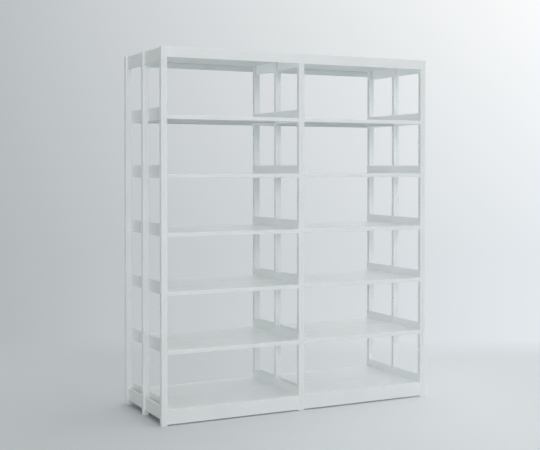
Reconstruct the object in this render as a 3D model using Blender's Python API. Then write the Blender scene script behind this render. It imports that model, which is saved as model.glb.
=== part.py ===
"""Double-sided library shelving: two bays of hooked shelves between three slotted frames.

Metres, +Z up. The origin lies on the floor under the middle of the stack. The front faces -Y
and the bays run along X. The rear row is the front row turned half round about Z.
"""

import math

import bmesh
import bpy

# Overall sizes
STACK_HEIGHT = 2.250
STACK_DEPTH = 0.676
BAY_PITCH = 0.920
FRAME_NAMES = ("left", "middle", "right")
BAY_NAMES = ("left", "right")
ROW_TURNS = {"front": 0.0, "rear": math.pi}

# Clearance between pieces that touch, and how far a cutter runs past what it cuts
FIT_GAP = 0.0003
CUT_OVERRUN = 0.002

# Posts, folded from sheet with a narrow slit where the edges meet
POST_WIDTH = 0.038
POST_DEPTH = 0.030
POST_SHEET = 0.0016
POST_SLIT = 0.0010
FOOT_PLATE = 0.0030

# Slots in the bay-facing sides of the posts, and the shelf levels that they give
SLOT_PITCH = 0.025
SLOT_HEIGHT = 0.014
SLOTS_EACH_WAY = 4
HOOKED_LEVELS = 5
BASE_SURFACE = 0.096

# Shelf boards, folded down at front and back with a lip turned in
BOARD_SHEET = 0.0012
EDGE_HEIGHT = 0.024
EDGE_LIP = 0.012
BOARD_INSET = 0.0005

# End plates of the shelves, and the hooks bent out of them
PLATE_SHEET = 0.0016
PLATE_RISE = 0.052
PLATE_DROP = 0.025
HOOK_SHEET = 0.0012
HOOK_RISE = 0.020
HOOK_HEIGHT = 0.008
HOOK_SIDE_GAP = 0.0005
NOSE_DROP = 0.0035
NOSE_LENGTH = 0.0030

# Ties between the posts of a frame, channels with a wide top flange and a narrow bottom lip
TIE_SHEET = 0.0016
TIE_SETBACK = 0.013
TIE_FLANGE = 0.013
TIE_LIP = 0.008
BASE_TIE_BOTTOM = 0.029
BASE_TIE_HEIGHT = 0.082
TOP_TIE_HEIGHT = 0.082

# Kick plates under the base shelves
KICK_SHEET = 0.0012
KICK_CLEARANCE = 0.007
KICK_FLANGE = 0.015

# Top boards let in between the frames, and the fascias that cover the post tops
TOP_SHEET = 0.0012
TOP_BOARD_DROP = 0.025
FASCIA_SHEET = 0.0012
FASCIA_HEIGHT = 0.062
FASCIA_FLANGE = 0.028

# White enamel on every piece: colour, roughness
WHITE = (0.84, 0.872, 0.874, 1.0)
POST_ENAMEL = (WHITE, 0.40)
TIE_ENAMEL = (WHITE, 0.42)
SHELF_ENAMEL = (WHITE, 0.34)
PANEL_ENAMEL = (WHITE, 0.40)

# Places worked out from the sizes above
HALF_DEPTH = STACK_DEPTH / 2
FRONT_PLANE = HALF_DEPTH - FASCIA_SHEET - FIT_GAP
POST_TOP = STACK_HEIGHT - FASCIA_SHEET - FIT_GAP
OUTER_POST_Y = FRONT_PLANE - POST_DEPTH / 2
CLEAR_HALF = (BAY_PITCH - POST_WIDTH) / 2
SLOT_WIDTH = 2 * (HOOK_SIDE_GAP + HOOK_SHEET + FIT_GAP)

# The levels share out the height under the top boards, in steps of whole slots
SHELVED_HEIGHT = STACK_HEIGHT - TOP_BOARD_DROP - BASE_SURFACE
SLOTS_PER_LEVEL = int(SHELVED_HEIGHT / (HOOKED_LEVELS + 1) / SLOT_PITCH)
LEVEL_STEP = SLOTS_PER_LEVEL * SLOT_PITCH


def clear_scene():
    for item in list(bpy.data.objects):
        bpy.data.objects.remove(item, do_unlink=True)


def enamel(name, finish):
    colour, roughness = finish
    material = bpy.data.materials.new(name)
    material.use_nodes = True
    shader = material.node_tree.nodes["Principled BSDF"]
    shader.inputs["Base Color"].default_value = colour
    shader.inputs["Roughness"].default_value = roughness
    shader.inputs["Metallic"].default_value = 0.0
    return material


def add_prism(shape, outline, place, low, high):
    """Closes a flat outline and draws it out from low to high; place(a, b, along) gives a point."""
    ends = []
    for along in (low, high):
        ring = [shape.verts.new(place(a, b, along)) for a, b in outline]
        ends.append(ring)
        shape.faces.new(ring)
    count = len(outline)
    for index in range(count):
        after = (index + 1) % count
        shape.faces.new((ends[0][index], ends[0][after], ends[1][after], ends[1][index]))


def along_x(a, b, along):
    return (along, a, b)


def along_y(a, b, along):
    return (a, along, b)


def add_box(shape, low, high):
    """A closed box between two opposite corners."""
    outline = ((low[1], low[2]), (high[1], low[2]), (high[1], high[2]), (low[1], high[2]))
    add_prism(shape, outline, along_x, low[0], high[0])


def finished(shape, name):
    bmesh.ops.recalc_face_normals(shape, faces=shape.faces)
    mesh = bpy.data.meshes.new(name)
    shape.to_mesh(mesh)
    shape.free()
    return mesh


def combined(name, body, steps):
    """The body mesh after its Boolean steps, each an operation and the mesh that it works with."""
    collection = bpy.context.scene.collection
    worked = bpy.data.objects.new(name, body)
    collection.objects.link(worked)
    helpers = []
    for operation, mesh in steps:
        helper = bpy.data.objects.new(f"{name}_{operation.lower()}", mesh)
        helper.display_type = "WIRE"
        helper.hide_render = True
        collection.objects.link(helper)
        helpers.append(helper)
        modifier = worked.modifiers.new(operation.title(), "BOOLEAN")
        modifier.operation = operation
        modifier.object = helper
    evaluated = worked.evaluated_get(bpy.context.evaluated_depsgraph_get())
    result = bpy.data.meshes.new_from_object(evaluated)
    result.name = name
    for item in (worked, *helpers):
        bpy.data.objects.remove(item, do_unlink=True)
    return result


def open_box(name, width, depth, height, wall, floor):
    """A folded box without a lid, standing on the middle of its floor."""
    shape = bmesh.new()
    add_box(shape, (-width / 2, -depth / 2, 0.0), (width / 2, depth / 2, height))
    top = max(shape.faces, key=lambda face: face.calc_center_median().z)
    bmesh.ops.recalc_face_normals(shape, faces=shape.faces)
    bmesh.ops.inset_region(shape, faces=[top], thickness=wall, use_even_offset=True)
    sunk = bmesh.ops.extrude_discrete_faces(shape, faces=[top])["faces"]
    bmesh.ops.translate(shape, verts=sunk[0].verts, vec=(0.0, 0.0, floor - height))
    return finished(shape, name)


def level_surface(level):
    return BASE_SURFACE + level * LEVEL_STEP


def slot_bottoms():
    """Heights of the slots in one column: one for the base shelf, a run of them at each level."""
    seat = HOOK_RISE - FIT_GAP
    heights = [BASE_SURFACE + seat]
    numbers = set()
    for level in range(1, HOOKED_LEVELS + 1):
        middle = level * SLOTS_PER_LEVEL
        numbers.update(range(middle - SLOTS_EACH_WAY, middle + SLOTS_EACH_WAY + 1))
    heights += [BASE_SURFACE + number * SLOT_PITCH + seat for number in sorted(numbers)]
    return heights


def post_mesh(name, slotted_sides):
    """A post with its slit towards -Y and a column of slots in each side that faces a bay."""
    body = open_box(name, POST_WIDTH, POST_DEPTH, POST_TOP, POST_SHEET, FOOT_PLATE)
    cuts = bmesh.new()
    inner, outer = POST_DEPTH / 2 - POST_SHEET, POST_DEPTH / 2
    add_box(
        cuts,
        (-POST_SLIT / 2, -outer - CUT_OVERRUN, FOOT_PLATE + CUT_OVERRUN),
        (POST_SLIT / 2, -inner + CUT_OVERRUN, POST_TOP + CUT_OVERRUN),
    )
    for side in slotted_sides:
        edges = sorted(
            (side * (POST_WIDTH / 2 - POST_SHEET - CUT_OVERRUN), side * (POST_WIDTH / 2 + CUT_OVERRUN))
        )
        for bottom in slot_bottoms():
            low = (edges[0], -SLOT_WIDTH / 2, bottom)
            high = (edges[1], SLOT_WIDTH / 2, bottom + SLOT_HEIGHT)
            add_box(cuts, low, high)
    return combined(name, body, [("DIFFERENCE", finished(cuts, f"{name}_cuts"))])


def tie_mesh(name, height, length):
    """A channel standing on its lip, its outer face on x = 0 and its flanges towards +X."""
    outline = (
        (0.0, 0.0),
        (TIE_LIP, 0.0),
        (TIE_LIP, TIE_SHEET),
        (TIE_SHEET, TIE_SHEET),
        (TIE_SHEET, height - TIE_SHEET),
        (TIE_FLANGE, height - TIE_SHEET),
        (TIE_FLANGE, height),
        (0.0, height),
    )
    shape = bmesh.new()
    add_prism(shape, outline, along_y, -length / 2, length / 2)
    return finished(shape, name)


def board_outline(front, back):
    """Section of a board whose top is z = 0, with both edges folded down and their lips in."""
    sheet, bottom = BOARD_SHEET, -EDGE_HEIGHT
    return (
        (front, 0.0),
        (back, 0.0),
        (back, bottom),
        (back - EDGE_LIP, bottom),
        (back - EDGE_LIP, bottom + sheet),
        (back - sheet, bottom + sheet),
        (back - sheet, -sheet),
        (front + sheet, -sheet),
        (front + sheet, bottom + sheet),
        (front + EDGE_LIP, bottom + sheet),
        (front + EDGE_LIP, bottom),
        (front, bottom),
    )


def hook_outline(side):
    """A hook seen from the front: through the post's wall and down behind it."""
    root = CLEAR_HALF - FIT_GAP - PLATE_SHEET / 2
    behind_wall = CLEAR_HALF + POST_SHEET + FIT_GAP
    return (
        (side * root, HOOK_RISE),
        (side * behind_wall, HOOK_RISE),
        (side * behind_wall, HOOK_RISE - NOSE_DROP),
        (side * (behind_wall + NOSE_LENGTH), HOOK_RISE + HOOK_HEIGHT),
        (side * root, HOOK_RISE + HOOK_HEIGHT),
    )


def shelf_mesh(name, front):
    """A front-row shelf, its top on z = 0, from y = front to the middle of the stack."""
    back = -FIT_GAP
    plate_outer = CLEAR_HALF - FIT_GAP
    weld_line = plate_outer - PLATE_SHEET / 2
    board = bmesh.new()
    outline = board_outline(front + BOARD_INSET, back - BOARD_INSET)
    add_prism(board, outline, along_x, -weld_line, weld_line)

    plates = bmesh.new()
    hooks = bmesh.new()
    hook_starts = (-OUTER_POST_Y - HOOK_SHEET / 2, -HOOK_SIDE_GAP - HOOK_SHEET)
    for side in (-1, 1):
        edges = sorted((side * plate_outer, side * (plate_outer - PLATE_SHEET)))
        add_box(plates, (edges[0], front, -PLATE_DROP), (edges[1], back, PLATE_RISE))
        for start in hook_starts:
            add_prism(hooks, hook_outline(side), along_y, start, start + HOOK_SHEET)
    steps = [
        ("UNION", finished(plates, f"{name}_plates")),
        ("UNION", finished(hooks, f"{name}_hooks")),
    ]
    return combined(name, finished(board, f"{name}_board"), steps)


def kick_mesh(name):
    """Front kick plate of one bay, a sheet folded in at the floor."""
    front, sheet = -FRONT_PLANE, KICK_SHEET
    outline = (
        (front, KICK_CLEARANCE),
        (front + KICK_FLANGE, KICK_CLEARANCE),
        (front + KICK_FLANGE, KICK_CLEARANCE + sheet),
        (front + sheet, KICK_CLEARANCE + sheet),
        (front + sheet, BASE_SURFACE),
        (front, BASE_SURFACE),
    )
    shape = bmesh.new()
    add_prism(shape, outline, along_x, FIT_GAP - CLEAR_HALF, CLEAR_HALF - FIT_GAP)
    return finished(shape, name)


def fascia_mesh(name):
    """Front fascia over both bays, a sheet folded back over the tops of the posts."""
    front, sheet = -HALF_DEPTH, FASCIA_SHEET
    outline = (
        (front, STACK_HEIGHT - FASCIA_HEIGHT),
        (front + sheet, STACK_HEIGHT - FASCIA_HEIGHT),
        (front + sheet, STACK_HEIGHT - sheet),
        (front + FASCIA_FLANGE, STACK_HEIGHT - sheet),
        (front + FASCIA_FLANGE, STACK_HEIGHT),
        (front, STACK_HEIGHT),
    )
    half_width = (len(BAY_NAMES) * BAY_PITCH + POST_WIDTH) / 2
    shape = bmesh.new()
    add_prism(shape, outline, along_x, -half_width, half_width)
    return finished(shape, name)


def place(name, mesh, material, location, turn=0.0, parent=None):
    """One piece of the stack, its place given from its parent."""
    piece = bpy.data.objects.new(name, mesh)
    piece.location = location
    piece.rotation_euler.z = turn
    piece.parent = parent
    if not mesh.materials:
        mesh.materials.append(material)
    bpy.context.scene.collection.objects.link(piece)
    return piece


def group(name, x):
    """An empty that carries the pieces of one frame or one bay."""
    empty = bpy.data.objects.new(name, None)
    empty.location = (x, 0.0, 0.0)
    bpy.context.scene.collection.objects.link(empty)
    return empty


def centred_place(index, names):
    """Places along X at the bay pitch, centred on the origin."""
    return (index - (len(names) - 1) / 2) * BAY_PITCH


def build_posts():
    """Three posts to a frame. A post turned half round needs the mesh of the other side."""
    finish = enamel("post_enamel", POST_ENAMEL)
    right_bay_only = post_mesh("post_slotted_right", (1,))
    left_bay_only = post_mesh("post_slotted_left", (-1,))
    both_bays = post_mesh("post_slotted_both", (-1, 1))
    meshes = {
        "left": (right_bay_only, left_bay_only),
        "middle": (both_bays, both_bays),
        "right": (left_bay_only, right_bay_only),
    }
    for index, frame in enumerate(FRAME_NAMES):
        carrier = group(f"frame_{frame}", centred_place(index, FRAME_NAMES))
        straight, turned = meshes[frame]
        place(f"post_{frame}_front", straight, finish, (0.0, -OUTER_POST_Y, 0.0), parent=carrier)
        place(f"post_{frame}_middle", straight, finish, (0.0, 0.0, 0.0), parent=carrier)
        place(f"post_{frame}_rear", turned, finish, (0.0, OUTER_POST_Y, 0.0), math.pi, carrier)


def build_ties():
    """Two ties high and two ties low in each frame, set back from its outer face."""
    finish = enamel("tie_enamel", TIE_ENAMEL)
    length = OUTER_POST_Y - POST_DEPTH - 2 * FIT_GAP
    kinds = {
        "base_tie": (BASE_TIE_BOTTOM, tie_mesh("base_tie", BASE_TIE_HEIGHT, length)),
        "top_tie": (POST_TOP - TOP_TIE_HEIGHT, tie_mesh("top_tie", TOP_TIE_HEIGHT, length)),
    }
    for index, frame in enumerate(FRAME_NAMES):
        inward = -1 if frame == FRAME_NAMES[-1] else 1
        x = centred_place(index, FRAME_NAMES) - inward * (POST_WIDTH / 2 - TIE_SETBACK)
        turn = 0.0 if inward == 1 else math.pi
        for kind, (bottom, mesh) in kinds.items():
            place(f"{kind}_{frame}_front", mesh, finish, (x, -OUTER_POST_Y / 2, bottom), turn)
            place(f"{kind}_{frame}_rear", mesh, finish, (x, OUTER_POST_Y / 2, bottom), turn)


def build_bays():
    """Shelves, base shelves, kick plates and the top board of each bay."""
    shelf_finish = enamel("shelf_enamel", SHELF_ENAMEL)
    base_finish = enamel("base_shelf_enamel", SHELF_ENAMEL)
    kick_finish = enamel("kick_plate_enamel", PANEL_ENAMEL)
    top_finish = enamel("top_board_enamel", PANEL_ENAMEL)
    shelf = shelf_mesh("shelf", -FRONT_PLANE)
    base_shelf = shelf_mesh("base_shelf", -FRONT_PLANE + KICK_SHEET + FIT_GAP)
    kick = kick_mesh("kick_plate")
    top_bottom = STACK_HEIGHT - TOP_BOARD_DROP
    top_width = 2 * (CLEAR_HALF - FIT_GAP)
    top_depth = 2 * FRONT_PLANE
    top_height = POST_TOP - top_bottom
    top = open_box("top_board", top_width, top_depth, top_height, TOP_SHEET, TOP_SHEET)
    for index, bay in enumerate(BAY_NAMES):
        carrier = group(f"bay_{bay}", centred_place(index, BAY_NAMES))
        place(f"top_board_{bay}", top, top_finish, (0.0, 0.0, top_bottom), parent=carrier)
        for row, turn in ROW_TURNS.items():
            place(f"kick_plate_{bay}_{row}", kick, kick_finish, (0.0, 0.0, 0.0), turn, carrier)
            surface = (0.0, 0.0, BASE_SURFACE)
            place(f"base_shelf_{bay}_{row}", base_shelf, base_finish, surface, turn, carrier)
            for level in range(1, HOOKED_LEVELS + 1):
                surface = (0.0, 0.0, level_surface(level))
                place(f"shelf_{bay}_{row}_{level}", shelf, shelf_finish, surface, turn, carrier)


def build_fascias():
    finish = enamel("fascia_enamel", PANEL_ENAMEL)
    mesh = fascia_mesh("fascia")
    for row, turn in ROW_TURNS.items():
        place(f"fascia_{row}", mesh, finish, (0.0, 0.0, 0.0), turn)


clear_scene()
build_posts()
build_ties()
build_bays()
build_fascias()
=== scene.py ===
"""Dresses the library shelving: bent sheet pieces in white enamel, on a pale studio floor."""

import math

import bmesh
import bpy
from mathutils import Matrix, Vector


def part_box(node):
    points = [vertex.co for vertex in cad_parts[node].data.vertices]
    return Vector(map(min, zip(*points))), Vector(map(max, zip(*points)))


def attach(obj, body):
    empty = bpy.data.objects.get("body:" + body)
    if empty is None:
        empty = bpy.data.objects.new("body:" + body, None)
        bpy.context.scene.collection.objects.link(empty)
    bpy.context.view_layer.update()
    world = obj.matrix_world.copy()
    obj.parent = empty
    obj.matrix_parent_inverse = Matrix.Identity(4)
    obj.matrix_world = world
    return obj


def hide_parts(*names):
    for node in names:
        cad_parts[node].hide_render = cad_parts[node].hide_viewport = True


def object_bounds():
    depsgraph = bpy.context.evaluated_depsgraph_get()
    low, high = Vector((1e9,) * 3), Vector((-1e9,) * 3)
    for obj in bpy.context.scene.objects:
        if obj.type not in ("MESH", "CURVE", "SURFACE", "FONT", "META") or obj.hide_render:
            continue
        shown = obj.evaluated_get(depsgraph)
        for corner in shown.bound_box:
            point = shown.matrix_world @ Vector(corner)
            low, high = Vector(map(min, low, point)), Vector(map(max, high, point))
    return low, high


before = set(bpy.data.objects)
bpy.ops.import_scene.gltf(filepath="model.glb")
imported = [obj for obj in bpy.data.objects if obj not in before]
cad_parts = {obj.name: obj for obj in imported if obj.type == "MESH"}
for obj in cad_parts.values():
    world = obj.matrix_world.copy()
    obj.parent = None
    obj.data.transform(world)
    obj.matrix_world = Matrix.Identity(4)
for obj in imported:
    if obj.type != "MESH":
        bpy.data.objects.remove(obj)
cad_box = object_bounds()

FRAMES = ("left", "middle", "right")
BAYS = ("left", "right")
ROWS = ("front", "rear")
LEVELS = range(1, 6)
# How far the pieces of a row are turned about an upright axis
TURNS = {"front": 0.0, "middle": 0.0, "rear": math.pi}

# Sheet thicknesses and the outer radius of the bends, in metres
POST_SHEET = 0.0016
POST_BEND = 0.0018
THIN_SHEET = 0.0012
THIN_BEND = 0.0022
TIE_SHEET = 0.0016
TIE_BEND = 0.0026
PLATE_SHEET = 0.0016
LEAST_INNER_BEND = 0.25  # as a share of the sheet
ROUND_PROFILE = 0.5
BEND_STEPS = 4
SMOOTH_ANGLE = math.radians(35)

# Posts and ties
POST_SLIT = 0.0010
SLIT_LIP = 0.0060
FOOT_PLATE = 0.0030
FOOT_GAP = 0.0001
TIE_LIP = 0.008

# Slots and hooks
SLOT_PITCH = 0.025
SLOT_HEIGHT = 0.014
SLOT_WIDTH = 0.0040
SLOT_ROUND_STEPS = 4
SLOTS_ABOVE = 12
CUT_OVERRUN = 0.002
HOOK_SHEET = 0.0012
HOOK_RISE = 0.020
HOOK_HEIGHT = 0.008
HOOK_SIDE_GAP = 0.0005
NOSE_DROP = 0.0035
NOSE_LENGTH = 0.0030
FIT_GAP = 0.0003

# Shelf boards and their end plates
EDGE_HEIGHT = 0.024
EDGE_LIP = 0.012
BOARD_INSET = 0.0005
PLATE_DROP = 0.025
PLATE_CORNER = 0.0060

# White powder coat. THIN_COAT is the tone of a thin spot, as a share of the full one. Each NOISE
# is a scale and a detail, and each pair of EDGES is the part of it that is used.
WHITE = (0.840, 0.872, 0.874, 1.0)
THIN_COAT = 0.965
CLOUD_NOISE = (3.0, 3.0)
CLOUD_EDGES = (0.35, 0.60)
GLOSS_NOISE = (60.0, 2.0)
GLOSS_EDGES = (0.3, 0.7)
PEEL_NOISE = (950.0, 1.0)
PEEL_STRENGTH = 0.10
PEEL_DEPTH = 0.0004
ENAMEL_IOR = 1.5
SATIN_ROUGHNESS = 0.40
TIE_ROUGHNESS = 0.42
SHELF_ROUGHNESS = 0.22
ROUGHNESS_SPREAD = (-0.03, 0.04)

# Painted shade inside the posts: a dark grey for their enclosed hollows, which the lamp without
# shadows would light, kept off a strip behind the slit
HOLLOW_SHADE = (0.35, 0.36, 0.37, 1.0)
UNSHADED_STRIP = 0.005
SHADE_FADE = 0.0002

# Camera: the photograph's place, direction and framing
IMAGE_WIDTH = 540
CAMERA_PLACE = (-3.112, -6.126, 1.533)
CAMERA_YAW = math.radians(-26.52)
CAMERA_TILT = math.radians(89.0)
CAMERA_LENS = 69.60
CAMERA_SENSOR = 36.0
CAMERA_REACH = 100.0
PHOTO_MIDDLE_ROW = 224.5
LEVEL_ROW = 185.5
CAMERA_RIGHT = Vector((math.cos(CAMERA_YAW), math.sin(CAMERA_YAW), 0.0))
CAMERA_AHEAD = Vector((-math.sin(CAMERA_YAW), math.cos(CAMERA_YAW), 0.0))


def linear(*values):
    """Linear colour from eight-bit sRGB values."""
    def one(value):
        share = value / 255
        return share / 12.92 if share <= 0.04045 else ((share + 0.055) / 1.055) ** 2.4
    return (*[one(value) for value in values], 1.0)


# Backdrop: a floor and a wall square to the camera, both darker on the left than on the right, a
# painted shading of light that comes from the right
FLOOR_REACH = 40.0
WALL_DEPTH = 12.0
WALL_HALF_WIDTH = 30.0
WALL_HEIGHT = 20.0
BACKDROP_ROUGHNESS = 0.9
BACKDROP_SPECULAR = 0.1
FLOOR_LEFT = linear(216, 222, 224)
FLOOR_RIGHT = linear(238, 243, 246)
FLOOR_SPAN = 1.3

# Tones that only the camera and glosses see: on the floor round the stack, from its outline
# outwards, and further off, where the floor passes into the wall; darker on the left and, on the
# wall, lighter higher up, as painted shading
FLOOR_GLOW = 0.50
GLOW_START = -0.05
GLOW_FULL = 0.10
GLOW_LEFT = linear(189, 194, 196)
GLOW_RIGHT = linear(224, 229, 232)
FADE_START = 0.75
FADE_END = 2.4
WALL_SPREAD = 0.257
WALL_BLEND = 5.2
WALL_LOW_LEFT = linear(180, 185, 187)
WALL_LOW_RIGHT = linear(228, 233, 237)
WALL_HIGH_LEFT = linear(190, 195, 198)
WALL_HIGH_RIGHT = linear(254, 255, 255)

# A white surround, strong from one side only
SURROUND_SIDE = (0.99, 0.12, 0.0)
SURROUND_START = -0.15
SURROUND_WEAK = 0.02
SURROUND_STRONG = 1.50

# Soft lamps: the way that the light goes, its strength and whether it casts shadows
LAMP_SPREAD = math.radians(30)
LAMPS = {
    "key": ((0.30, 0.93, -0.15), 1.08, True),
    "top": ((0.0, 0.0, -1.0), 0.68, True),
    "fill": ((0.69, 0.18, -0.70), 0.89, False),
}


def middle(node):
    low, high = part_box(node)
    return (low + high) / 2


# Places read from the frame
post_low, post_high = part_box("post_left_front")
POST_WIDTH = post_high.x - post_low.x
POST_DEPTH = post_high.y - post_low.y
POST_TOP = post_high.z
FRONT_PLANE = post_low.y
BAY_PITCH = middle("post_middle_front").x - middle("post_left_front").x
CLEAR_HALF = (BAY_PITCH - POST_WIDTH) / 2
OUTER_POST_Y = middle("post_left_front").y
BASE_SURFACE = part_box("kick_plate_left_front")[1].z
shelf_low, shelf_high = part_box("shelf_left_front_1")
PLATE_RISE = shelf_high.z - shelf_low.z - PLATE_DROP
TOP_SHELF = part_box("shelf_left_front_5")[0].z + PLATE_DROP

dressed = bpy.data.collections.new("dressed")


class Nodes:
    """Short calls for building the nodes of a material or a world."""

    def __init__(self, owner, shader):
        owner.use_nodes = True
        self.owner = owner
        self.tree = owner.node_tree
        self.shader = self.tree.nodes[shader]

    @classmethod
    def of_material(cls, name):
        return cls(bpy.data.materials.new(name), "Principled BSDF")

    @classmethod
    def of_world(cls, world):
        return cls(world, "Background")

    def add(self, kind, **values):
        node = self.tree.nodes.new(kind)
        for key, value in values.items():
            setattr(node, key, value)
        return node

    def feed(self, target, source):
        """Links an input to a socket, or sets it to a value."""
        if isinstance(source, bpy.types.NodeSocket):
            self.tree.links.new(source, target)
        else:
            target.default_value = source

    def noise(self, vector, scale, detail):
        node = self.add("ShaderNodeTexNoise")
        self.feed(node.inputs["Vector"], vector)
        self.feed(node.inputs["Scale"], scale)
        self.feed(node.inputs["Detail"], detail)
        return node.outputs["Fac"]

    def calculated(self, operation, first, second):
        node = self.add("ShaderNodeMath", operation=operation)
        self.feed(node.inputs[0], first)
        self.feed(node.inputs[1], second)
        return node.outputs["Value"]

    def largest(self, first, *others):
        for other in others:
            first = self.calculated("MAXIMUM", first, other)
        return first

    def ranged(self, value, low, high, new_low=0.0, new_high=1.0):
        """The value drawn from one range to another, and kept within it."""
        node = self.add("ShaderNodeMapRange")
        self.feed(node.inputs["Value"], value)
        self.feed(node.inputs["From Min"], low)
        self.feed(node.inputs["From Max"], high)
        self.feed(node.inputs["To Min"], new_low)
        self.feed(node.inputs["To Max"], new_high)
        return node.outputs["Result"]

    def blended(self, share, low, high):
        """A colour between two."""
        node = self.add("ShaderNodeMix", data_type="RGBA")
        self.feed(node.inputs["Factor"], share)
        self.feed(node.inputs["A"], low)
        self.feed(node.inputs["B"], high)
        return node.outputs["Result"]

    def along(self, spot, axis):
        """How far a spot lies along a direction."""
        node = self.add("ShaderNodeVectorMath", operation="DOT_PRODUCT")
        self.feed(node.inputs[0], spot)
        self.feed(node.inputs[1], axis)
        return node.outputs["Value"]

    def beyond(self, spot, half):
        """How far a spot lies outside an upright box about the origin, as seen from above."""
        across = self.add("ShaderNodeVectorMath", operation="ABSOLUTE")
        self.feed(across.inputs[0], spot)
        outside = self.add("ShaderNodeVectorMath", operation="SUBTRACT")
        self.feed(outside.inputs[0], across.outputs["Vector"])
        self.feed(outside.inputs[1], half)
        parts = self.add("ShaderNodeSeparateXYZ")
        self.feed(parts.inputs["Vector"], outside.outputs["Vector"])
        return self.largest(parts.outputs["X"], parts.outputs["Y"])

    def seen_rays(self):
        """One for rays that show the studio itself, in the picture or in a gloss; else nought."""
        ray = self.add("ShaderNodeLightPath").outputs
        return self.largest(ray["Is Camera Ray"], ray["Is Glossy Ray"], ray["Is Transmission Ray"])


def enamel(name, roughness, painted_shade=None):
    """White powder coat: a fine orange peel, a cloudy gloss and a slight unevenness of tone.

    Where the third argument, called with the nodes and the spot, gives one, it paints a dark grey
    shade instead.
    """
    made = Nodes.of_material(name)
    spot = made.add("ShaderNodeTexCoord").outputs["Object"]

    cloud = made.ranged(made.noise(spot, *CLOUD_NOISE), *CLOUD_EDGES)
    thin = (*[THIN_COAT * part for part in WHITE[:3]], 1.0)
    tone = made.blended(cloud, thin, WHITE)
    # Painted shade: a dark grey where the mask gives one, as in the hollow of a post
    if painted_shade:
        tone = made.blended(painted_shade(made, spot), tone, HOLLOW_SHADE)
    made.feed(made.shader.inputs["Base Color"], tone)

    gloss = made.noise(spot, *GLOSS_NOISE)
    limits = [roughness + change for change in ROUGHNESS_SPREAD]
    made.feed(made.shader.inputs["Roughness"], made.ranged(gloss, *GLOSS_EDGES, *limits))

    peel = made.add("ShaderNodeBump")
    made.feed(peel.inputs["Height"], made.noise(spot, *PEEL_NOISE))
    made.feed(peel.inputs["Strength"], PEEL_STRENGTH)
    made.feed(peel.inputs["Distance"], PEEL_DEPTH)
    made.feed(made.shader.inputs["Normal"], peel.outputs["Normal"])
    made.feed(made.shader.inputs["IOR"], ENAMEL_IOR)
    return made.owner


def post_hollow_shade(made, spot):
    """One inside the hollow of a post, where shade is painted, but nought on a strip behind the
    slit.
    """
    hollow = ((POST_WIDTH - POST_SHEET) / 2, (POST_DEPTH - POST_SHEET) / 2, 0.0)
    strip = (UNSHADED_STRIP, POST_DEPTH, 0.0)
    inside = made.ranged(made.beyond(spot, hollow), -SHADE_FADE, SHADE_FADE, 1.0, 0.0)
    off_strip = made.ranged(made.beyond(spot, strip), -SHADE_FADE, SHADE_FADE)
    return made.calculated("MULTIPLY", inside, off_strip)


def offset_line(points, distance):
    """The open line moved to its left by a distance, corners kept square."""
    directions = [(b - a).normalized() for a, b in zip(points, points[1:])]
    normals = [Vector((-way.y, way.x)) for way in directions]
    moved = [points[0] + normals[0] * distance]
    for point, before, after in zip(points[1:-1], normals, normals[1:]):
        moved.append(point + (before + after) * (distance / (1 + before.dot(after))))
    moved.append(points[-1] + normals[-1] * distance)
    return moved


def rounded(points, radius):
    """The open line with an arc of the radius at each corner."""
    line = [points[0]]
    for before, corner, after in zip(points, points[1:], points[2:]):
        back = (before - corner).normalized()
        on = (after - corner).normalized()
        half = back.angle(on) / 2
        reach = radius / math.tan(half)
        centre = corner + (back + on).normalized() * (radius / math.sin(half))
        start = corner + back * reach - centre
        sweep = math.copysign(math.pi - 2 * half, back.x * on.y - back.y * on.x)
        for step in range(BEND_STEPS + 1):
            angle = -sweep * step / BEND_STEPS
            turned = Vector((
                start.x * math.cos(angle) - start.y * math.sin(angle),
                start.x * math.sin(angle) + start.y * math.cos(angle),
            ))
            line.append(centre + turned)
    line.append(points[-1])
    return line


def sheet_section(outer, sheet, bend):
    """Closed outline of a bent sheet, from the outer face line that has the sheet on its left."""
    points = [Vector(point) for point in outer]
    inner_bend = max(bend - sheet, sheet * LEAST_INNER_BEND)
    inner = rounded(offset_line(points, sheet), inner_bend)
    return rounded(points, bend) + list(reversed(inner))


def along_x(a, b, along):
    return (along, a, b)


def along_y(a, b, along):
    return (a, along, b)


def along_z(a, b, along):
    return (a, b, along)


def add_prism(shape, outline, point_at, low, high):
    """Closes a flat outline and draws it out from low to high.

    A point of it is point_at(a, b, along), one of the three functions above.
    """
    ends = []
    for along in (low, high):
        ring = [shape.verts.new(point_at(a, b, along)) for a, b in outline]
        ends.append(ring)
        shape.faces.new(ring)
    count = len(outline)
    for index in range(count):
        after = (index + 1) % count
        shape.faces.new((ends[0][index], ends[0][after], ends[1][after], ends[1][index]))


def add_box(shape, low, high):
    outline = ((low[1], low[2]), (high[1], low[2]), (high[1], high[2]), (low[1], high[2]))
    add_prism(shape, outline, along_x, low[0], high[0])


def finished(shape, name):
    """The mesh of a shape, its faces turned outwards."""
    bmesh.ops.recalc_face_normals(shape, faces=shape.faces)
    mesh = bpy.data.meshes.new(name)
    shape.to_mesh(mesh)
    shape.free()
    return mesh


def worked(name, mesh, modifiers):
    """The mesh after its modifiers, each a kind and its settings."""
    holder = bpy.data.objects.new(name, mesh)
    bpy.context.scene.collection.objects.link(holder)
    for kind, settings in modifiers:
        modifier = holder.modifiers.new(kind.title(), kind)
        for key, value in settings.items():
            setattr(modifier, key, value)
    evaluated = holder.evaluated_get(bpy.context.evaluated_depsgraph_get())
    result = bpy.data.meshes.new_from_object(evaluated)
    result.name = name
    bpy.data.objects.remove(holder, do_unlink=True)
    return result


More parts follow.
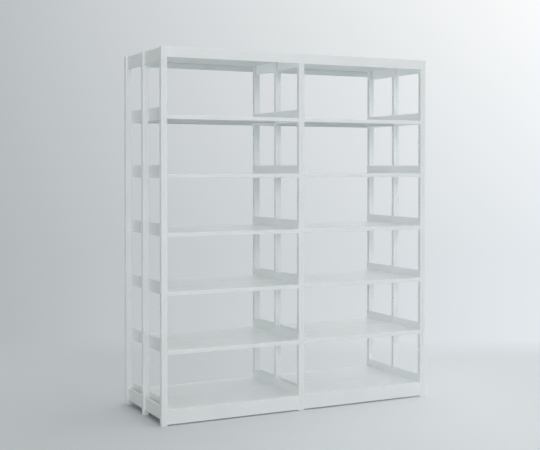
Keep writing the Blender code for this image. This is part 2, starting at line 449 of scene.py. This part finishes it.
def combined(name, body, steps):
    """The body mesh after its Boolean steps, each an operation and the mesh that it works with."""
    helpers = []
    modifiers = []
    for operation, mesh in steps:
        helper = bpy.data.objects.new(f"{name}_{operation.lower()}", mesh)
        bpy.context.scene.collection.objects.link(helper)
        helpers.append(helper)
        modifiers.append(("BOOLEAN", {"operation": operation, "object": helper}))
    result = worked(name, body, modifiers)
    for helper in helpers:
        bpy.data.objects.remove(helper, do_unlink=True)
    return result


def shaded(mesh):
    """The mesh with its bends shaded smooth and its flat faces flat right up to them."""
    mesh.shade_smooth()
    mesh.set_sharp_from_angle(angle=SMOOTH_ANGLE)
    return worked(mesh.name, mesh, [("WEIGHTED_NORMAL", {"keep_sharp": True})])


def slot_bottoms():
    """Heights of the slots in one column, from the base shelf's to well above the top shelf's."""
    lowest = BASE_SURFACE + HOOK_RISE - FIT_GAP
    count = round((TOP_SHELF - BASE_SURFACE) / SLOT_PITCH) + SLOTS_ABOVE
    return [lowest + number * SLOT_PITCH for number in range(count)]


def slot_outline(bottom):
    """An upright slot with round ends, in the YZ plane."""
    radius = SLOT_WIDTH / 2
    ends = ((bottom + SLOT_HEIGHT - radius, 0.0), (bottom + radius, math.pi))
    outline = []
    for height, start in ends:
        for step in range(SLOT_ROUND_STEPS + 1):
            angle = start + math.pi * step / SLOT_ROUND_STEPS
            outline.append((radius * math.cos(angle), height + radius * math.sin(angle)))
    return outline


def post_mesh(name, slotted_sides):
    """A post bent round from sheet, its two edges turned in at the slit, which faces -Y."""
    slit, wide, deep = POST_SLIT / 2, POST_WIDTH / 2, POST_DEPTH / 2
    outer = (
        (slit, -deep + SLIT_LIP),
        (slit, -deep),
        (wide, -deep),
        (wide, deep),
        (-wide, deep),
        (-wide, -deep),
        (-slit, -deep),
        (-slit, -deep + SLIT_LIP),
    )
    body = bmesh.new()
    add_prism(body, sheet_section(outer, POST_SHEET, POST_BEND), along_z, 0.0, POST_TOP)
    cuts = bmesh.new()
    for side in slotted_sides:
        edges = sorted((side * (wide - POST_SHEET - CUT_OVERRUN), side * (wide + CUT_OVERRUN)))
        for bottom in slot_bottoms():
            add_prism(cuts, slot_outline(bottom), along_x, *edges)
    steps = [("DIFFERENCE", finished(cuts, "cuts"))]
    whole = bmesh.new()
    whole.from_mesh(combined(name, finished(body, f"{name}_body"), steps))
    inside = POST_SHEET + FOOT_GAP
    add_box(
        whole,
        (-wide + inside, -deep + inside + SLIT_LIP, 0.0),
        (wide - inside, deep - inside, FOOT_PLATE),
    )
    return shaded(finished(whole, name))


def board_line(front, back):
    """Outer face line of a board: both edges folded down, with lips turned in."""
    bottom = -EDGE_HEIGHT
    return (
        (back - EDGE_LIP, bottom),
        (back, bottom),
        (back, 0.0),
        (front, 0.0),
        (front, bottom),
        (front + EDGE_LIP, bottom),
    )


def plate_outline(front, back):
    """An end plate seen from the side, its upper corners rounded."""
    points = [
        Vector((back, -PLATE_DROP)),
        Vector((back, PLATE_RISE)),
        Vector((front, PLATE_RISE)),
        Vector((front, -PLATE_DROP)),
    ]
    return rounded(points, PLATE_CORNER)


def hook_outline(side):
    """A hook seen from the front: through the wall of a post, and its nose down behind it."""
    root = CLEAR_HALF - FIT_GAP - PLATE_SHEET / 2
    behind_wall = CLEAR_HALF + POST_SHEET + FIT_GAP
    return (
        (side * root, HOOK_RISE),
        (side * behind_wall, HOOK_RISE),
        (side * behind_wall, HOOK_RISE - NOSE_DROP),
        (side * (behind_wall + NOSE_LENGTH), HOOK_RISE + HOOK_HEIGHT),
        (side * root, HOOK_RISE + HOOK_HEIGHT),
    )


def shelf_mesh(name, front):
    """A front-row shelf with its top on z = 0: board, end plates and hooks welded together."""
    back = -FIT_GAP
    plate_outer = CLEAR_HALF - FIT_GAP
    weld_line = plate_outer - PLATE_SHEET / 2
    board = bmesh.new()
    line = board_line(front + BOARD_INSET, back - BOARD_INSET)
    add_prism(board, sheet_section(line, THIN_SHEET, THIN_BEND), along_x, -weld_line, weld_line)

    plates = bmesh.new()
    hooks = bmesh.new()
    hook_starts = (OUTER_POST_Y - HOOK_SHEET / 2, -HOOK_SIDE_GAP - HOOK_SHEET)
    for side in (-1, 1):
        edges = sorted((side * plate_outer, side * (plate_outer - PLATE_SHEET)))
        add_prism(plates, plate_outline(front, back), along_x, *edges)
        for start in hook_starts:
            add_prism(hooks, hook_outline(side), along_y, start, start + HOOK_SHEET)
    steps = [("UNION", finished(plates, "plates")), ("UNION", finished(hooks, "hooks"))]
    return shaded(combined(name, finished(board, f"{name}_board"), steps))


def tie_mesh(name, node):
    """A channel like the node's own, its outer face on x = 0 and its flanges towards +X."""
    low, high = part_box(node)
    width, length, height = high - low
    outer = ((width, height), (0.0, height), (0.0, 0.0), (TIE_LIP, 0.0))
    shape = bmesh.new()
    add_prism(shape, sheet_section(outer, TIE_SHEET, TIE_BEND), along_y, -length / 2, length / 2)
    return shaded(finished(shape, name))


def kick_mesh(name):
    """A plate with its foot folded back, centred on x = 0."""
    low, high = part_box("kick_plate_left_front")
    outer = ((low.y, high.z), (low.y, low.z), (high.y, low.z))
    half = (high.x - low.x) / 2
    shape = bmesh.new()
    add_prism(shape, sheet_section(outer, THIN_SHEET, THIN_BEND), along_x, -half, half)
    return shaded(finished(shape, name))


def fascia_mesh(name):
    """A plate with its top folded back over the posts."""
    low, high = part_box("fascia_front")
    outer = ((high.y, high.z), (low.y, high.z), (low.y, low.z))
    shape = bmesh.new()
    add_prism(shape, sheet_section(outer, THIN_SHEET, THIN_BEND), along_x, low.x, high.x)
    return shaded(finished(shape, name))


def top_board_mesh(name):
    """A tray with its rims up, its vertical corners and floor edges bent round."""
    low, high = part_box("top_board_left")
    half = (high - low) / 2
    shape = bmesh.new()
    add_box(shape, (-half.x, -half.y, 0.0), (half.x, half.y, high.z - low.z))
    bmesh.ops.recalc_face_normals(shape, faces=shape.faces)
    bends = [edge for edge in shape.edges if min(vert.co.z for vert in edge.verts) < half.z]
    bmesh.ops.bevel(
        shape,
        geom=bends,
        offset=THIN_BEND,
        segments=BEND_STEPS,
        profile=ROUND_PROFILE,
        affect="EDGES",
    )
    top = max(shape.faces, key=lambda face: face.calc_center_median().z)
    bmesh.ops.delete(shape, geom=[top], context="FACES_ONLY")
    wall = {"thickness": THIN_SHEET, "offset": -1.0, "use_even_offset": True}
    return shaded(worked(name, finished(shape, name), [("SOLIDIFY", wall)]))


def place(node, mesh, material, location, turn=0.0):
    """A dressed piece that stands for one CAD node."""
    piece = bpy.data.objects.new(f"dressed_{node}", mesh)
    piece.location = location
    piece.rotation_euler.z = turn
    bpy.context.scene.collection.objects.link(piece)
    dressed.objects.link(piece)
    if not mesh.materials:
        mesh.materials.append(material)
    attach(piece, "root")
    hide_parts(node)


def dress_posts():
    # The posts' enamel, with painted shade in their hollows
    finish = enamel("post_white", SATIN_ROUGHNESS, post_hollow_shade)
    right_bay_only = post_mesh("dressed_post_slotted_right", (1,))
    left_bay_only = post_mesh("dressed_post_slotted_left", (-1,))
    both_bays = post_mesh("dressed_post_slotted_both", (-1, 1))
    meshes = {
        "left": (right_bay_only, left_bay_only),
        "middle": (both_bays, both_bays),
        "right": (left_bay_only, right_bay_only),
    }
    for side in FRAMES:
        straight, turned = meshes[side]
        for row, turn in TURNS.items():
            node = f"post_{side}_{row}"
            centre = middle(node)
            mesh = turned if turn else straight
            place(node, mesh, finish, (centre.x, centre.y, 0.0), turn)


def dress_ties():
    finish = enamel("tie_white", TIE_ROUGHNESS)
    for kind in ("base_tie", "top_tie"):
        mesh = tie_mesh(f"dressed_{kind}", f"{kind}_left_front")
        for side in FRAMES:
            for row in ROWS:
                node = f"{kind}_{side}_{row}"
                low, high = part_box(node)
                turned = side == FRAMES[-1]
                spot = (high.x if turned else low.x, (low.y + high.y) / 2, low.z)
                place(node, mesh, finish, spot, math.pi if turned else 0.0)


def dress_bays():
    shelf_finish = enamel("shelf_white", SHELF_ROUGHNESS)
    base_finish = enamel("base_shelf_white", SHELF_ROUGHNESS)
    kick_finish = enamel("kick_white", SATIN_ROUGHNESS)
    top_finish = enamel("top_board_white", SATIN_ROUGHNESS)
    shelf = shelf_mesh("dressed_shelf", FRONT_PLANE)
    base_shelf = shelf_mesh("dressed_base_shelf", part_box("base_shelf_left_front")[0].y)
    kick = kick_mesh("dressed_kick")
    top = top_board_mesh("dressed_top_board")
    for bay in BAYS:
        x = middle(f"kick_plate_{bay}_front").x
        node = f"top_board_{bay}"
        place(node, top, top_finish, (x, 0.0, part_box(node)[0].z))
        for row in ROWS:
            turn = TURNS[row]
            node = f"kick_plate_{bay}_{row}"
            place(node, kick, kick_finish, (x, 0.0, 0.0), turn)
            node = f"base_shelf_{bay}_{row}"
            spot = (x, 0.0, BASE_SURFACE)
            place(node, base_shelf, base_finish, spot, turn)
            for level in LEVELS:
                node = f"shelf_{bay}_{row}_{level}"
                spot = (x, 0.0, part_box(node)[0].z + PLATE_DROP)
                place(node, shelf, shelf_finish, spot, turn)


def dress_fascias():
    finish = enamel("fascia_white", SATIN_ROUGHNESS)
    mesh = fascia_mesh("dressed_fascia")
    for row in ROWS:
        place(f"fascia_{row}", mesh, finish, (0.0, 0.0, 0.0), TURNS[row])


def backdrop_material():
    """A matt floor and wall, in whose place the camera and glosses see even tones further off."""
    made = Nodes.of_material("backdrop")
    spot = made.add("ShaderNodeTexCoord").outputs["Object"]
    across = made.along(spot, CAMERA_RIGHT)
    depth = made.along(spot, CAMERA_AHEAD)
    height = made.along(spot, (0.0, 0.0, 1.0))

    floor_share = made.ranged(across, -FLOOR_SPAN, FLOOR_SPAN)
    floor_tone = made.blended(floor_share, FLOOR_LEFT, FLOOR_RIGHT)
    made.feed(made.shader.inputs["Base Color"], floor_tone)
    made.feed(made.shader.inputs["Roughness"], BACKDROP_ROUGHNESS)
    made.feed(made.shader.inputs["Specular IOR Level"], BACKDROP_SPECULAR)

    distance = made.calculated("ADD", depth, Vector(CAMERA_PLACE[:2]).length)
    spread = made.calculated("DIVIDE", across, distance)
    wall_share = made.ranged(spread, -WALL_SPREAD, WALL_SPREAD)
    low_tone = made.blended(wall_share, WALL_LOW_LEFT, WALL_LOW_RIGHT)
    high_tone = made.blended(wall_share, WALL_HIGH_LEFT, WALL_HIGH_RIGHT)
    wall_tone = made.blended(made.ranged(height, 0.0, WALL_BLEND), low_tone, high_tone)
    near_tone = made.blended(floor_share, GLOW_LEFT, GLOW_RIGHT)
    far = made.ranged(depth, FADE_START, FADE_END)
    glow = made.add("ShaderNodeEmission")
    made.feed(glow.inputs["Color"], made.blended(far, near_tone, wall_tone))

    outside = made.beyond(spot, cad_box[1])
    near = made.ranged(outside, GLOW_START, GLOW_FULL, 0.0, FLOOR_GLOW)
    mixed = made.add("ShaderNodeMixShader")
    share = made.calculated("MULTIPLY", made.seen_rays(), made.largest(near, far))
    made.feed(mixed.inputs["Fac"], share)
    made.feed(mixed.inputs[1], made.shader.outputs["BSDF"])
    made.feed(mixed.inputs[2], glow.outputs["Emission"])
    made.feed(made.tree.nodes["Material Output"].inputs["Surface"], mixed.outputs["Shader"])
    return made.owner


def studio_sheet(name, corners, material):
    """One flat face of the studio."""
    mesh = bpy.data.meshes.new(name)
    mesh.from_pydata(corners, [], [range(len(corners))])
    mesh.materials.append(material)
    sheet = bpy.data.objects.new(name, mesh)
    bpy.context.scene.collection.objects.link(sheet)
    return sheet


def build_backdrop():
    """A floor all round, and a wall behind that neither shades nor lights the object."""
    material = backdrop_material()
    signs = ((-1, -1), (1, -1), (1, 1), (-1, 1))
    studio_sheet("floor", [(FLOOR_REACH * x, FLOOR_REACH * y, 0.0) for x, y in signs], material)
    right = CAMERA_RIGHT * WALL_HALF_WIDTH
    behind = CAMERA_AHEAD * WALL_DEPTH
    up = Vector((0.0, 0.0, WALL_HEIGHT))
    corners = [behind - right, behind + right, behind + right + up, behind - right + up]
    wall = studio_sheet("wall", corners, material)
    wall.visible_shadow = False
    wall.visible_diffuse = False


def build_world():
    """A white surround that lights from one side; where it is seen it has the wall's tones."""
    world = bpy.data.worlds.new("studio")
    bpy.context.scene.world = world
    made = Nodes.of_world(world)
    way = made.add("ShaderNodeTexCoord").outputs["Generated"]
    side = made.along(way, SURROUND_SIDE)
    light = made.ranged(side, SURROUND_START, 1.0, SURROUND_WEAK, SURROUND_STRONG)
    across = made.ranged(made.along(way, CAMERA_RIGHT), -1.0, 1.0)
    tone = made.blended(across, WALL_LOW_LEFT, WALL_LOW_RIGHT)
    made.feed(made.shader.inputs["Color"], made.blended(made.seen_rays(), light, tone))


def build_lamps():
    """The lamp without shadows stands for light thrown from sheet to sheet inside the stack."""
    for name, (way, strength, shadows) in LAMPS.items():
        data = bpy.data.lights.new(name, "SUN")
        data.energy = strength
        data.angle = LAMP_SPREAD
        data.use_shadow = shadows
        lamp = bpy.data.objects.new(name, data)
        lamp.visible_glossy = False
        lamp.rotation_euler = Vector(way).to_track_quat("-Z", "Y").to_euler()
        bpy.context.scene.collection.objects.link(lamp)
        if not shadows:
            lamp.light_linking.receiver_collection = dressed


def build_camera():
    data = bpy.data.cameras.new("camera")
    data.sensor_width = CAMERA_SENSOR
    data.lens = CAMERA_LENS
    data.shift_y = (LEVEL_ROW - PHOTO_MIDDLE_ROW) / IMAGE_WIDTH
    data.clip_end = CAMERA_REACH
    camera = bpy.data.objects.new("camera", data)
    camera.location = CAMERA_PLACE
    camera.rotation_euler = (CAMERA_TILT, 0.0, CAMERA_YAW)
    bpy.context.scene.collection.objects.link(camera)
    bpy.context.scene.camera = camera


dress_posts()
dress_ties()
dress_bays()
dress_fascias()
build_backdrop()
build_world()
build_lamps()
build_camera()
bpy.context.scene.view_settings.view_transform = "Standard"
